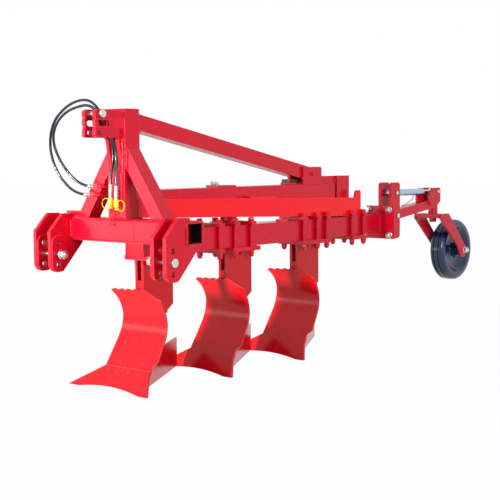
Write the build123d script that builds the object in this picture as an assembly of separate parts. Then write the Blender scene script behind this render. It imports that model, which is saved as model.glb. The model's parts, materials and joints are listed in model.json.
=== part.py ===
# Mounted three-furrow mouldboard plough.
# X runs to the plough's left, Y to the rear, Z up from the ground. Millimetres.
# All values below are measured from the front face of the head tube, and export
# moves the whole plough so that its overall length is centred on Y = 0.
import os
from math import cos, hypot, radians, sin, tan

from build123d import *

os.makedirs("parts", exist_ok=True)

SEAT = 0.3

# Head tube, the cross member of the headstock
HEAD_HALF = 479.0
HEAD_SIZE = 120.0
HEAD_WALL = 12.0
HEAD_CORNER = 15.0
HEAD_TOP = 883.0
FRONT_SHEET_HALF = 120.0
FRONT_SHEET = 3.0
STOP_LENGTH = 140.0
STOP_HEIGHT = 27.0
STOP_DEPTH = 36.0

# Lower hitch brackets
HITCH_PLATE = 20.0
HITCH_PAD = 8.0
HITCH_GAP_LEFT = 61.0
HITCH_GAP_RIGHT = 94.5
HITCH_PIN_Y = -90.0
HITCH_PIN_Z = 696.1
HITCH_HOLE_STEP = 54.3
HITCH_HOLE_R = 14.25
HITCH_PIN_R = 14.0
HITCH_PIN_HEAD_R = 21.0
HITCH_PIN_HEAD = 14.0
HITCH_PIN_TAIL = 30.0
HITCH_NOSE = 47.0
HITCH_BEND_Z = 813.0
HITCH_TOP_Z = 903.0
HITCH_TOP_Y = -51.0
HITCH_LAP = 25.0
HITCH_LOW_Z = 604.0
HITCH_TAIL_Y = 92.0

# Mast
POST_HALF = 60.0
POST_FRONT = 5.0
POST_DEPTH = 80.0
POST_WALL = 8.0
POST_TOP = 1423.0
BOX_PLATE = 8.0
BOX_DEPTH = 98.0
BOX_HEIGHT = 192.0
CHEEK_GAP = 56.0
CHEEK_PLATE = 20.0
CHEEK_FRONT = -169.0
CHEEK_UNDER_POST_TOP = 6.0
CHEEK_HEIGHT = 136.0
CHEEK_TAPER = 172.0
CHEEK_CORNER = 22.0
TOP_PIN_Y = -134.0
TOP_PIN_DOWN = 22.0
TOP_PIN_R = 12.7
TOP_PIN_FIT = 0.05
TOP_PIN_STICK = 26.0
SLOT_FRONT = -154.0
SLOT_REAR = -77.0
SLOT_DOWN = 67.0
SLOT_HEIGHT = 28.0
TOP_HOLE_Y = -139.0
TOP_HOLE_DOWN = 112.0
TOP_HOLE_R = 13.0
SCALLOP_DOWN = (41.0, 86.0)
SCALLOP_R = 26.0
SCALLOP_DEPTH = 5.0
WEDGE_LENGTH = 62.0
LEG_FOOT_IN = 228.0
LEG_FOOT_OUT = 312.0
LEG_TOP_HEIGHT = 105.0
LEG_FRONT = 20.0
LEG_DEPTH = 80.0
LEG_WALL = 6.0

# Brace from the mast to the upper beam
BRACE_SIZE = 80.0
BRACE_DOWN = 56.0
BRACE_REAR_Y = 1620.0
BRACE_REAR_Z = 1074.0
BRACE_YAW = 1.63
BRACE_WALL = 6.0
BRACE_LEAD = 60.0
BRACE_PIN_R = 12.0
BRACE_PIN_Y = 1590.0

# Bracket that takes the brace, with a strut plate and a valve block ahead of it
STRUT_Y = 1395.0
STRUT_WIDTH = 63.0
STRUT_INSET = 14.0
STRUT_PLATE = 8.0
STRUT_SILL = 14.0
STRUT_POST = 9.0
STRUT_HEIGHT = 50.0
VALVE_HEIGHT = 32.0
BRACKET_FRONT = 1502.0
BRACKET_REAR = 1682.0
BRACKET_FOOT = 12.0
BRACKET_PLATE = 14.0
BRACKET_TOP = 1122.0
BRACKET_CORNER = 14.0
BRACKET_CLEAR = 3.5

# Main beam
BEAM_HALF = 60.0
BEAM_WALL = 10.0
BEAM_TOP = 808.0
BEAM_HEIGHT = 120.0
BEAM_REAR = 2257.0

# Upper beam, on the far side of the mast
UPPER_FAR = -120.0
UPPER_WIDTH = 120.0
UPPER_FRONT = 90.0
UPPER_REAR = 1842.0
UPPER_PAD = 15.0
UPPER_HEIGHT = 120.0
SADDLE_Y = (876.0, 1490.0)
SADDLE_LENGTH = 80.0
TOP_PLATE = 11.0
TOP_PLATE_FRONT = 786.0
TOP_PLATE_REAR = 904.0

# Upright behind the upper beam
UPRIGHT_AFTER = 21.0
UPRIGHT_DEPTH = 130.0
UPRIGHT_OVER = 46.0
UPRIGHT_FOOT = 35.5
UPRIGHT_TONGUE = 143.0

# Side rail, the tapered tube along the near side
RAIL_WIDTH = 60.0
RAIL_FRONT = 91.0
RAIL_REAR = 2017.0
RAIL_FRONT_HEIGHT = 94.0
RAIL_REAR_HEIGHT = 117.0
RAIL_WALL = 6.0
RAIL_EAR_FRONT = 1962.0
RAIL_END_PLATE = 20.0
RAIL_EAR_TOP = 971.0

# Plough bodies
BODY_STEP = 635.0
BODY_COUNT = 3
FACE_EDGE_Y = 20.0
FACE_SLOPE = 0.5
FACE_TURN_Z = 334.0
FACE_TOP_Y = 112.0
FACE_TOP_Z = 515.0
FACE_BEND_R = 165.0
SHARE_THICK = 12.0
BOARD_THICK = 8.0
JOINT_Z = 118.0
POINT_X = 171.0
HEEL_X = 141.0
HEEL_Z = 82.0
WING_X = -415.0
BOARD_LOW_X = -185.0
SHARE_ARCH_START = -330.0
SHARE_ARCH_END = 110.0
SHARE_ARCH = 20.0
BOARD_STEP_Z = 165.0
BOARD_SHOULDER_Z = 470.0
BOARD_TOP_LEFT_X = 90.0
BOARD_TOP_RIGHT_X = -174.0
BOARD_TOP_RIGHT_Z = 504.0
SCALLOPS = 5
SCALLOP_RISE = 11.0
LANDSIDE_YAW = 29.8
LANDSIDE_INSET = 34.0
LANDSIDE_LENGTH = 668.0
LANDSIDE_START = -20.0
LANDSIDE_LOW = 30.0
LANDSIDE_TOP = 190.0
LANDSIDE_THICK = 12.0
SHANK_FRONT = 150.0
SHANK_DEPTH = 170.0
SHANK_PLATE = 15.0
SHANK_GAP = 29.0
SHANK_LOW = 380.0
SHANK_CHAMFER = 42.0
SHANK_WEB = 58.0
FROG_TOP = 560.0
FROG_FOOT_START = 60.0
FROG_FOOT_END = 420.0
FROG_FOOT_THICK = 25.0
FROG_FOOT_LOW = 12.0
FROG_RIB = 15.0
FROG_RIB_HALF = 125.0
FROG_RIB_LOW = 30.0
FROG_RIB_TOP = 104.0

# Clamps that hold the shanks and the upper frame to the main beam
CLAMP_HALF = 95.0
CLAMP_PLATE = 23.0
STRAP_WIDTH = 42.0
STRAP_THICK = 20.0
CLAMP_ROD_R = 11.0
CLAMP_ROD_X = 74.0
CLAMP_ROD_STICK = 14.0
CLAMP_TABLE = [
    # name, rods at Y, lower plate from Y, lower plate to Y
    ("clamp_1", (210.0, 336.0), 141.0, 370.0),
    ("clamp_2", (681.0,), 660.0, 702.0),
    ("clamp_3", (808.0, 944.0), 773.0, 1000.0),
    ("clamp_4", (1424.0, 1557.0, 1652.0), 1389.0, 1635.0),
    ("clamp_5", (1920.0, 2045.0), 1900.0, 2068.0),
]

# Rear flange and wheel carrier
FLANGE_PLATE = 18.0
FLANGE_FAR = -46.0
FLANGE_NEAR = 170.0
FLANGE_LOW = 650.0
FLANGE_TOP = 863.0
CARRIER_X = 85.0
CARRIER_GAP = 62.0
CARRIER_PLATE = 19.0
CARRIER_REAR = 2378.0
CARRIER_TOP = 1013.0
CARRIER_CORNER = 24.0
ARM_PIVOT_Y = 2345.0
ARM_PIVOT_Z = 797.0
ARM_PIN_R = 15.0
PIN_FIT = 0.05
ARM_SIZE = 60.0
ARM_WALL = 6.0
ARM_RISE = 7.1
ARM_LENGTH = 520.0
ARM_EYE_R = 36.0
LINK_BASE_Y = 2332.0
LINK_BASE_Z = 945.0
LINK_PIN_R = 12.0
LINK_EYE_Y = 2862.0
LINK_EYE_DOWN = 26.0
LINK_EYE_R = 24.0
LINK_EYE_DRIFT = 5.0
LINK_EYE_WIDTH = 30.0
BARREL_R = 22.0
BARREL_BORE_R = 17.0
BARREL_START = 55.0
BARREL_END = 400.0
BARREL_CAP = 16.0
ROD_R = 12.5
PISTON_AT = 240.0
PISTON = 24.0
RUN_FIT = 0.05
LUG_PLATE = 16.0
LUG_FRONT = 2766.0
LUG_REAR = 2900.0
LUG_HEIGHT = 116.0
LUG_TOP = 966.0
FAR_LUG_REACH = 42.0

# Castor fork and wheel
SPINDLE_Y = 2878.0
SPINDLE_R = 20.0
BOSS_R = 32.0
BOSS_LOW = 787.3
BOSS_TOP = 880.0
COLLAR_R = 28.0
COLLAR = 10.0
SPINDLE_NUT_R = 24.0
SPINDLE_LOW = 729.0
FORK_HALF = 107.0
FORK_PLATE = 14.0
FORK_FRONT = 2805.0
FORK_CROWN_LOW = 757.0
FORK_CROWN_REAR = 2913.0
FORK_DROP = 204.0
FORK_TAPER = 50.0
WHEEL_Y = 3128.0
WHEEL_Z = 521.0
WHEEL_R = 213.5
WHEEL_HALF = 53.0
AXLE_R = 12.5
AXLE_NUT_R = 17.0
AXLE_NUT = 18.0
HUB_R = 34.0
HUB_HALF = 88.0
RIM_R = 160.0
DISC = 12.0
GROOVE_X = 17.0
GROOVE_WIDTH = 8.0
GROOVE_DEPTH = 6.0
TREAD_SHOULDER = 18.0

# Hydraulic lines on the mast
HOSE_R = 7.0
PIPE_R = 7.0
PIPE_BEND = 22.0
FITTING_R = 10.5
COUPLER_R = 10.0
COUPLER_LENGTH = 42.0
CAP_R = 14.0
CAP_LENGTH = 49.0

HEAD_LOW = HEAD_TOP - HEAD_SIZE
CHEEK_TOP = POST_TOP - CHEEK_UNDER_POST_TOP
CHEEK_LOW = CHEEK_TOP - CHEEK_HEIGHT
TOP_PIN_Z = CHEEK_TOP - TOP_PIN_DOWN
SLOT_Z = CHEEK_TOP - SLOT_DOWN
TOP_HOLE_Z = CHEEK_TOP - TOP_HOLE_DOWN
BOX_LOW = POST_TOP - BOX_HEIGHT
LEG_TOP_IN = BOX_LOW - LEG_TOP_HEIGHT
BRACE_FRONT_Z = POST_TOP - BRACE_DOWN
BEAM_LOW = BEAM_TOP - BEAM_HEIGHT
LINK_EYE_Z = LUG_TOP - LINK_EYE_DOWN
LUG_LOW = LUG_TOP - LUG_HEIGHT
UPPER_LOW = HEAD_TOP + UPPER_PAD
UPPER_TOP = UPPER_LOW + UPPER_HEIGHT
WHEEL_REAR = WHEEL_Y + WHEEL_R
Y_MID = (CHEEK_FRONT + WHEEL_REAR) / 2


def plate(points, axis, start, end, radii=None):
    """A flat outline drawn along one axis; radii rounds its corners in order."""
    sketch = make_face(Polyline(*points, close=True))
    for corner, radius in zip(points, radii or []):
        if radius:
            vertex = sketch.vertices().sort_by_distance((corner[0], corner[1], 0))[0]
            sketch = fillet(vertex, radius)
    return draw(sketch, axis, start, end)


def draw(sketch, axis, start, end):
    """Stand a flat sketch across the X, Y or Z axis and draw it from start to end."""
    if axis == "x":
        return extrude(Plane((start, 0, 0), (0, 1, 0), (1, 0, 0)) * sketch, amount=end - start)
    if axis == "y":
        return extrude(Plane((0, end, 0), (1, 0, 0), (0, -1, 0)) * sketch, amount=end - start)
    return extrude(Pos(0, 0, start) * sketch, amount=end - start)


def block(x, y, z):
    """A box from three (low, high) pairs."""
    low = (x[0], y[0], z[0])
    size = (x[1] - x[0], y[1] - y[0], z[1] - z[0])
    return Pos(*low) * Box(*size, align=(Align.MIN, Align.MIN, Align.MIN))


def bar(radius, start, end):
    """A round bar between two points."""
    along = Vector(*end) - Vector(*start)
    place = Plane(origin=start, z_dir=along)
    return place * Cylinder(radius, along.length, align=(Align.CENTER, Align.CENTER, Align.MIN))


def cross_bar(radius, x, y, z):
    """A round bar along X from x[0] to x[1]."""
    return bar(radius, (x[0], y, z), (x[1], y, z))


def save(name, shape):
    """Write one sub-part, centred along the plough's length."""
    solids = shape.solids()
    if len(solids) != 1:
        print(name, "has", len(solids), "solids")
    export_step(Pos(0, -Y_MID, 0) * shape, f"parts/{name}.step")


# Headstock
head = plate(
    [(0, HEAD_LOW), (HEAD_SIZE, HEAD_LOW), (HEAD_SIZE, HEAD_TOP), (0, HEAD_TOP)],
    "x", -HEAD_HALF, HEAD_HALF, [HEAD_CORNER] * 4,
)
hollow_low = HEAD_LOW + HEAD_WALL
hollow_top = HEAD_TOP - HEAD_WALL
hollow_rear = HEAD_SIZE - HEAD_WALL
head -= plate(
    [(HEAD_WALL, hollow_low), (hollow_rear, hollow_low), (hollow_rear, hollow_top), (HEAD_WALL, hollow_top)],
    "x", -HEAD_HALF, HEAD_HALF, [HEAD_CORNER - HEAD_WALL + 3] * 4,
)
sheet_z = (HEAD_LOW + HEAD_CORNER, HEAD_TOP - HEAD_CORNER)
head += block((-FRONT_SHEET_HALF, FRONT_SHEET_HALF), (-FRONT_SHEET, 0), sheet_z)
stop_far = -(HEAD_HALF - HITCH_PLATE)
stop_y = (HEAD_SIZE - HEAD_CORNER - STOP_DEPTH, HEAD_SIZE - HEAD_CORNER)
head += block((stop_far, stop_far + STOP_LENGTH), stop_y, (HEAD_TOP, HEAD_TOP + STOP_HEIGHT))
save("head_tube", head)

# Each bracket plate laps the head tube's front, top corner and underside
NOSE_Y = HITCH_PIN_Y - HITCH_NOSE
hitch_outline = [
    (NOSE_Y, HITCH_BEND_Z), (NOSE_Y, HITCH_LOW_Z), (HITCH_PIN_Y + 32, HITCH_LOW_Z),
    (HITCH_TAIL_Y, HEAD_LOW), (0, HEAD_LOW), (0, HEAD_TOP), (HITCH_LAP, HEAD_TOP),
    (HITCH_LAP, HITCH_TOP_Z - 3), (HITCH_TOP_Y, HITCH_TOP_Z),
]
hitch_radii = [12, 44, 44, 10, 0, 0, 0, 4, 14]
PAD_REAR = HITCH_PIN_Y + HITCH_NOSE
PAD_TOP = HITCH_PIN_Z + HITCH_HOLE_STEP + 42
pad_outline = [
    (NOSE_Y + 6, PAD_TOP), (NOSE_Y + 6, HITCH_LOW_Z + 2), (PAD_REAR - 16, HITCH_LOW_Z + 2),
    (PAD_REAR, HITCH_LOW_Z + 32), (PAD_REAR, PAD_TOP),
]
pad_radii = [40, 40, 20, 10, 30]
hole_heights = [HITCH_PIN_Z - HITCH_HOLE_STEP, HITCH_PIN_Z, HITCH_PIN_Z + HITCH_HOLE_STEP]
sides = [
    # side, direction of the outer face, gap between the plates
    ("left", 1, HITCH_GAP_LEFT),
    ("right", -1, HITCH_GAP_RIGHT),
]
# Pads stand on the faces that look inward to the mast on the right, outward of it on the left
for side, way, gap in sides:
    outer_face = HEAD_HALF
    inner_face = HEAD_HALF - HITCH_PLATE - gap
    for layer, face in (("outer", outer_face), ("inner", inner_face)):
        spans = sorted([way * face, way * (face - HITCH_PLATE)])
        pad_spans = sorted([way * (face - HITCH_PLATE), way * (face - HITCH_PLATE - HITCH_PAD)])
        lug = plate(hitch_outline, "x", spans[0], spans[1], hitch_radii)
        lug += plate(pad_outline, "x", pad_spans[0], pad_spans[1], pad_radii)
        reach = (min(spans + pad_spans) - 1, max(spans + pad_spans) + 1)
        for height in hole_heights:
            lug -= cross_bar(HITCH_HOLE_R, reach, HITCH_PIN_Y, height)
        save(f"hitch_{side}_{layer}", lug)
    tail = inner_face - HITCH_PLATE - HITCH_PAD - HITCH_PIN_TAIL
    pin = cross_bar(HITCH_PIN_R, sorted([way * tail, way * outer_face]), HITCH_PIN_Y, HITCH_PIN_Z)
    head_span = sorted([way * outer_face, way * (outer_face + HITCH_PIN_HEAD)])
    pin += cross_bar(HITCH_PIN_HEAD_R, head_span, HITCH_PIN_Y, HITCH_PIN_Z)
    save(f"hitch_pin_{side}", pin)

# Mast post with its box plates
POST_REAR = POST_FRONT + POST_DEPTH
post = block((-POST_HALF, POST_HALF), (POST_FRONT, POST_REAR), (HEAD_TOP, POST_TOP))
post -= block((POST_WALL - POST_HALF, POST_HALF - POST_WALL), (POST_FRONT + POST_WALL, POST_REAR - POST_WALL),
              (HEAD_TOP, POST_TOP - POST_WALL))
for way in (-1, 1):
    box_span = sorted([way * POST_HALF, way * (POST_HALF + BOX_PLATE)])
    post += block(box_span, (POST_FRONT, POST_FRONT + BOX_DEPTH), (BOX_LOW, POST_TOP))
save("mast_post", post)

CHEEK_IN = CHEEK_GAP / 2
CHEEK_OUT = CHEEK_IN + CHEEK_PLATE
cheek_outline = [
    (CHEEK_FRONT, CHEEK_TOP), (CHEEK_FRONT, CHEEK_LOW), (POST_FRONT - 25, CHEEK_LOW),
    (POST_FRONT, CHEEK_LOW - CHEEK_TAPER), (POST_FRONT, CHEEK_TOP),
]
wedge_outline = [
    (CHEEK_OUT, POST_FRONT - WEDGE_LENGTH), (POST_HALF, POST_FRONT), (CHEEK_OUT, POST_FRONT),
]
for side, way in (("left", 1), ("right", -1)):
    spans = sorted([way * CHEEK_IN, way * CHEEK_OUT])
    cheek = plate(cheek_outline, "x", spans[0], spans[1], [CHEEK_CORNER, 14, 20, 0, 0])
    reach = (spans[0] - 1, spans[1] + 1)
    cheek -= cross_bar(TOP_PIN_R + TOP_PIN_FIT, reach, TOP_PIN_Y, TOP_PIN_Z)
    cheek -= cross_bar(TOP_HOLE_R, reach, TOP_HOLE_Y, TOP_HOLE_Z)
    slot_r = SLOT_HEIGHT / 2
    for centre in (SLOT_FRONT + slot_r, SLOT_REAR - slot_r):
        cheek -= cross_bar(slot_r, reach, centre, SLOT_Z)
    cheek -= block(reach, (SLOT_FRONT + slot_r, SLOT_REAR - slot_r), (SLOT_Z - slot_r, SLOT_Z + slot_r))
    for down in SCALLOP_DOWN:
        cheek -= cross_bar(SCALLOP_R, reach, CHEEK_FRONT - SCALLOP_R + SCALLOP_DEPTH, CHEEK_TOP - down)
    wedge = [(way * x, y) for x, y in wedge_outline]
    cheek += plate(wedge, "z", TOP_HOLE_Z + 20, CHEEK_TOP)
    save(f"top_cheek_{side}", cheek)
    foot = [
        (way * LEG_FOOT_IN, HEAD_TOP), (way * LEG_FOOT_OUT, HEAD_TOP), (way * (POST_HALF + BOX_PLATE), BOX_LOW),
        (way * POST_HALF, BOX_LOW), (way * POST_HALF, LEG_TOP_IN),
    ]
    leg = plate(foot, "y", LEG_FRONT, LEG_FRONT + LEG_DEPTH)
    inside = offset(make_face(Polyline(*foot, close=True)), amount=-LEG_WALL, kind=Kind.INTERSECTION)
    cavity = draw(inside, "y", LEG_FRONT + LEG_WALL, LEG_FRONT + LEG_DEPTH - LEG_WALL)
    leg -= cavity + Pos(0, 0, -LEG_WALL - 1) * cavity
    save(f"mast_leg_{side}", leg)
save("top_pin", cross_bar(TOP_PIN_R, (-CHEEK_OUT - TOP_PIN_STICK, CHEEK_OUT + TOP_PIN_STICK), TOP_PIN_Y, TOP_PIN_Z))

# Brace
BRACE_FALL = (BRACE_FRONT_Z - BRACE_REAR_Z) / (BRACE_REAR_Y - POST_REAR)
half_rise = BRACE_SIZE / 2 * hypot(1, BRACE_FALL)
front_out = POST_REAR - BRACE_LEAD


def sloped_bar(half_width, half_height, rear_y):
    """A bar along the brace's slope, from inside the post to rear_y."""
    front_z = BRACE_FRONT_Z + (POST_REAR - front_out) * BRACE_FALL
    rear_z = BRACE_FRONT_Z - (rear_y - POST_REAR) * BRACE_FALL
    outline = [
        (front_out, front_z - half_height), (rear_y, rear_z - half_height),
        (rear_y, rear_z + half_height), (front_out, front_z + half_height),
    ]
    return plate(outline, "x", -half_width, half_width)


inner_half = BRACE_SIZE / 2 - BRACE_WALL
inner_rise = half_rise - BRACE_WALL * hypot(1, BRACE_FALL)
brace = sloped_bar(BRACE_SIZE / 2, half_rise, BRACE_REAR_Y) - sloped_bar(inner_half, inner_rise, BRACE_REAR_Y + 10)
brace = Pos(0, POST_REAR, 0) * Rot(0, 0, BRACE_YAW) * Pos(0, -POST_REAR, 0) * brace
brace -= block((-200, 200), (front_out - 60, POST_REAR), (BOX_LOW - 200, POST_TOP + 200))
BRACE_PIN_Z = BRACE_REAR_Z + (BRACE_REAR_Y - BRACE_PIN_Y) * BRACE_FALL
BRACE_X = -(BRACE_PIN_Y - POST_REAR) * tan(radians(BRACE_YAW))
brace -= cross_bar(BRACE_PIN_R + PIN_FIT, (BRACE_X - 100, BRACE_X + 100), BRACE_PIN_Y, BRACE_PIN_Z)
gusset_y = POST_REAR
gusset_top = BRACE_FRONT_Z - half_rise
brace += plate(
    [(gusset_y, gusset_top), (gusset_y, gusset_top - 62), (gusset_y + 18, gusset_top - 62),
     (gusset_y + 84, gusset_top - 84 * BRACE_FALL)],
    "x", -8, 8,
)
save("brace", brace)

# Bracket on the upper beam that takes the brace, with a strut plate ahead of it
brace_side = BRACE_SIZE / 2 / cos(radians(BRACE_YAW)) + BRACKET_CLEAR
near_in = BRACE_X + brace_side
far_in = BRACE_X - brace_side
bracket = block((far_in - BRACKET_PLATE, near_in + BRACKET_PLATE), (BRACKET_FRONT, BRACKET_REAR),
                (UPPER_TOP, UPPER_TOP + BRACKET_FOOT))
cheek_side = [
    (BRACKET_FRONT, UPPER_TOP + BRACKET_FOOT), (BRACKET_REAR, UPPER_TOP + BRACKET_FOOT),
    (BRACKET_REAR, BRACKET_TOP), (BRACKET_FRONT, BRACKET_TOP),
]
bracket_radii = [0, 0, BRACKET_CORNER, BRACKET_CORNER / 2]
bracket += plate(cheek_side, "x", near_in, near_in + BRACKET_PLATE, bracket_radii)
bracket += plate(cheek_side, "x", far_in - BRACKET_PLATE, far_in, bracket_radii)
pin_span = (far_in - BRACKET_PLATE - 12, near_in + BRACKET_PLATE + 12)
bracket -= cross_bar(BRACE_PIN_R, pin_span, BRACE_PIN_Y, BRACE_PIN_Z)
bracket += cross_bar(BRACE_PIN_R, pin_span, BRACE_PIN_Y, BRACE_PIN_Z)
strut_near = UPPER_FAR + UPPER_WIDTH - STRUT_INSET
strut_x = (strut_near - STRUT_WIDTH, strut_near)
strut_y = (STRUT_Y, STRUT_Y + BRACKET_FOOT)
bracket += block(strut_x, (STRUT_Y, BRACKET_FRONT), (UPPER_TOP, UPPER_TOP + STRUT_PLATE))
bracket += block(strut_x, strut_y, (UPPER_TOP, UPPER_TOP + STRUT_SILL))
bracket += block((strut_near - STRUT_POST, strut_near), strut_y, (UPPER_TOP, UPPER_TOP + STRUT_HEIGHT))
save("brace_bracket", bracket)

# Upper beam and what stands on it
UPPER_NEAR = UPPER_FAR + UPPER_WIDTH
upper = block((UPPER_FAR, UPPER_NEAR), (UPPER_FRONT, UPPER_REAR), (UPPER_LOW, UPPER_TOP))
upper -= block((UPPER_FAR + BEAM_WALL, UPPER_NEAR - BEAM_WALL), (UPPER_FRONT + BEAM_WALL, UPPER_REAR),
               (UPPER_LOW + BEAM_WALL, UPPER_TOP - BEAM_WALL))
upper += block((UPPER_FAR, UPPER_NEAR), (UPPER_FRONT, HEAD_SIZE - HEAD_CORNER), (HEAD_TOP, UPPER_LOW))
upper += block((UPPER_FAR, UPPER_NEAR), (TOP_PLATE_FRONT, TOP_PLATE_REAR), (UPPER_TOP, UPPER_TOP + TOP_PLATE))
save("upper_beam", upper)
for number, middle in enumerate(SADDLE_Y, 1):
    span = (middle - SADDLE_LENGTH / 2, middle + SADDLE_LENGTH / 2)
    save(f"saddle_{number}", block((-BEAM_HALF, -8), span, (BEAM_TOP, UPPER_LOW)))
valve_y = (STRUT_Y + BRACKET_FOOT, BRACKET_FRONT)
save("valve_block", block(strut_x, valve_y, (UPPER_TOP + STRUT_PLATE, UPPER_TOP + VALVE_HEIGHT)))
upright_top = UPPER_TOP + UPRIGHT_OVER
upright_front = UPPER_REAR + UPRIGHT_AFTER
upright_low = BEAM_TOP + STRAP_THICK
upright = block((-BEAM_HALF, 0), (upright_front, upright_front + UPRIGHT_DEPTH), (upright_low, upright_top))
upright += block((-BEAM_HALF, 0), (upright_front, upright_front + UPRIGHT_FOOT), (BEAM_TOP, upright_low))
upright += block((-BEAM_HALF, -14), (upright_front - UPRIGHT_TONGUE, upright_front), (UPPER_TOP, upright_top))
save("rear_upright", upright)

# Main beam
beam = block((-BEAM_HALF, BEAM_HALF), (HEAD_SIZE, BEAM_REAR), (BEAM_LOW, BEAM_TOP))
beam -= block((BEAM_WALL - BEAM_HALF, BEAM_HALF - BEAM_WALL), (HEAD_SIZE + BEAM_WALL, BEAM_REAR),
              (BEAM_LOW + BEAM_WALL, BEAM_TOP - BEAM_WALL))
save("main_beam", beam)

# Side rail: rests on the head tube in front and on the main beam behind, notched over the clamp straps
rail_foot_fall = (HEAD_TOP - BEAM_TOP) / (RAIL_REAR - HEAD_SIZE)
rail_front_low = HEAD_TOP + rail_foot_fall * (HEAD_SIZE - RAIL_FRONT)
rail_rear_low = BEAM_TOP
rail_rear_top = BEAM_TOP + RAIL_REAR_HEIGHT
rail = plate(
    [(RAIL_FRONT, rail_front_low), (RAIL_REAR, rail_rear_low), (RAIL_REAR, rail_rear_top),
     (RAIL_FRONT, rail_front_low + RAIL_FRONT_HEIGHT)],
    "x", 0, RAIL_WIDTH,
)
rail -= plate(
    [(RAIL_FRONT + RAIL_WALL, rail_front_low + RAIL_WALL), (RAIL_REAR + 1, rail_rear_low + RAIL_WALL),
     (RAIL_REAR + 1, rail_rear_top - RAIL_WALL), (RAIL_FRONT + RAIL_WALL, rail_front_low + RAIL_FRONT_HEIGHT - RAIL_WALL)],
    "x", RAIL_WALL, RAIL_WIDTH - RAIL_WALL,
)
rail += plate(
    [(RAIL_REAR, rail_rear_low), (RAIL_REAR + RAIL_END_PLATE, rail_rear_low), (RAIL_REAR + RAIL_END_PLATE, RAIL_EAR_TOP),
     (RAIL_REAR - 24, RAIL_EAR_TOP), (RAIL_EAR_FRONT, rail_rear_low + 80)],
    "x", RAIL_WIDTH - 16, RAIL_WIDTH, [0, 0, 14, 14, 0],
)
for strap_y in [y for row in CLAMP_TABLE for y in row[1]]:
    strap = (strap_y - STRAP_WIDTH / 2, strap_y + STRAP_WIDTH / 2)
    rail -= block((0, RAIL_WIDTH), strap, (BEAM_TOP, BEAM_TOP + STRAP_THICK))
save("side_rail", rail)

# Clamps round the main beam
strap_top = BEAM_TOP + STRAP_THICK
plate_low = BEAM_LOW - CLAMP_PLATE
for name, rods, plate_from, plate_to in CLAMP_TABLE:
    clamp = block((-CLAMP_HALF, CLAMP_HALF), (plate_from, plate_to), (plate_low, BEAM_LOW))
    for y in rods:
        strap = (y - STRAP_WIDTH / 2, y + STRAP_WIDTH / 2)
        clamp += block((-CLAMP_HALF, CLAMP_HALF), strap, (BEAM_TOP, strap_top))
        if y - STRAP_WIDTH / 2 < plate_from or y + STRAP_WIDTH / 2 > plate_to:
            clamp += block((-CLAMP_HALF, CLAMP_HALF), strap, (plate_low, BEAM_LOW))
        for way in (-1, 1):
            x = way * CLAMP_ROD_X
            clamp += bar(CLAMP_ROD_R, (x, y, plate_low - CLAMP_ROD_STICK), (x, y, strap_top + CLAMP_ROD_STICK))
    save(name, clamp)

# Plough bodies. The working face is a flat that bends back through an arc to a flat
turn_y = FACE_EDGE_Y + FACE_SLOPE * FACE_TURN_Z
low_along = Vector(FACE_SLOPE, 1, 0).normalized()
top_along = Vector(FACE_TOP_Y - turn_y, FACE_TOP_Z - FACE_TURN_Z, 0).normalized()
low_back = Vector(low_along.Y, -low_along.X, 0)
top_back = Vector(top_along.Y, -top_along.X, 0)
turn = Vector(turn_y, FACE_TURN_Z, 0)
BACK_Y = 700.0


def behind(depth, x):
    """Everything behind the working face, set back by depth, for one span of X."""
    corner = turn + (low_back + top_back) * (depth / (1 + low_back.dot(top_back)))
    low = corner - low_along * (FACE_TURN_Z * 1.6)
    top = corner + top_along * ((FACE_TOP_Z - FACE_TURN_Z) * 2.4)
    face_line = FilletPolyline(low, corner, top, radius=FACE_BEND_R + depth)
    back_line = Polyline(top, (BACK_Y, top.Y), (BACK_Y, low.Y), low)
    return draw(make_face(face_line + back_line), "x", x[0], x[1])


WIDE = (WING_X - 20, POINT_X + 20)
board_edge = Spline(
    (BOARD_TOP_RIGHT_X, BOARD_TOP_RIGHT_Z), (-138, 446), (-150, 347), (-166, 240), (BOARD_LOW_X, JOINT_Z),
)
scallop_step = (BOARD_TOP_LEFT_X - BOARD_TOP_RIGHT_X) / SCALLOPS
scallop_lift = (FACE_TOP_Z - BOARD_TOP_RIGHT_Z) / SCALLOPS
top_edge = []
for index in range(SCALLOPS):
    start = (BOARD_TOP_RIGHT_X + index * scallop_step, BOARD_TOP_RIGHT_Z + index * scallop_lift)
    end = (start[0] + scallop_step, start[1] + scallop_lift)
    middle = ((start[0] + end[0]) / 2, (start[1] + end[1]) / 2 + SCALLOP_RISE)
    top_edge.append(ThreePointArc(start, middle, end))
left_edge = Polyline(
    (BOARD_TOP_LEFT_X, FACE_TOP_Z), (POINT_X, BOARD_SHOULDER_Z), (POINT_X, BOARD_STEP_Z),
    (HEEL_X, JOINT_Z + 20), (HEEL_X, JOINT_Z), (BOARD_LOW_X, JOINT_Z),
)
board_outline = make_face([*board_edge.edges(), *[arc.edge() for arc in top_edge], *left_edge.edges()])
share_top = Polyline(
    (SHARE_ARCH_END, 0), (POINT_X, 0), (HEEL_X, HEEL_Z), (HEEL_X, JOINT_Z), (BOARD_LOW_X, JOINT_Z), (WING_X, 0),
    (SHARE_ARCH_START, 0),
)
arch_middle = ((SHARE_ARCH_START + SHARE_ARCH_END) / 2, SHARE_ARCH)
share_arch = ThreePointArc((SHARE_ARCH_START, 0), arch_middle, (SHARE_ARCH_END, 0))
share_outline = make_face([*share_top.edges(), share_arch.edge()])
FACE_SPAN = (-60.0, 400.0)
board = (behind(0, WIDE) - behind(BOARD_THICK, WIDE)) & draw(board_outline, "y", *FACE_SPAN)
share = (behind(0, WIDE) - behind(SHARE_THICK, WIDE)) & draw(share_outline, "y", *FACE_SPAN)

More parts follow.
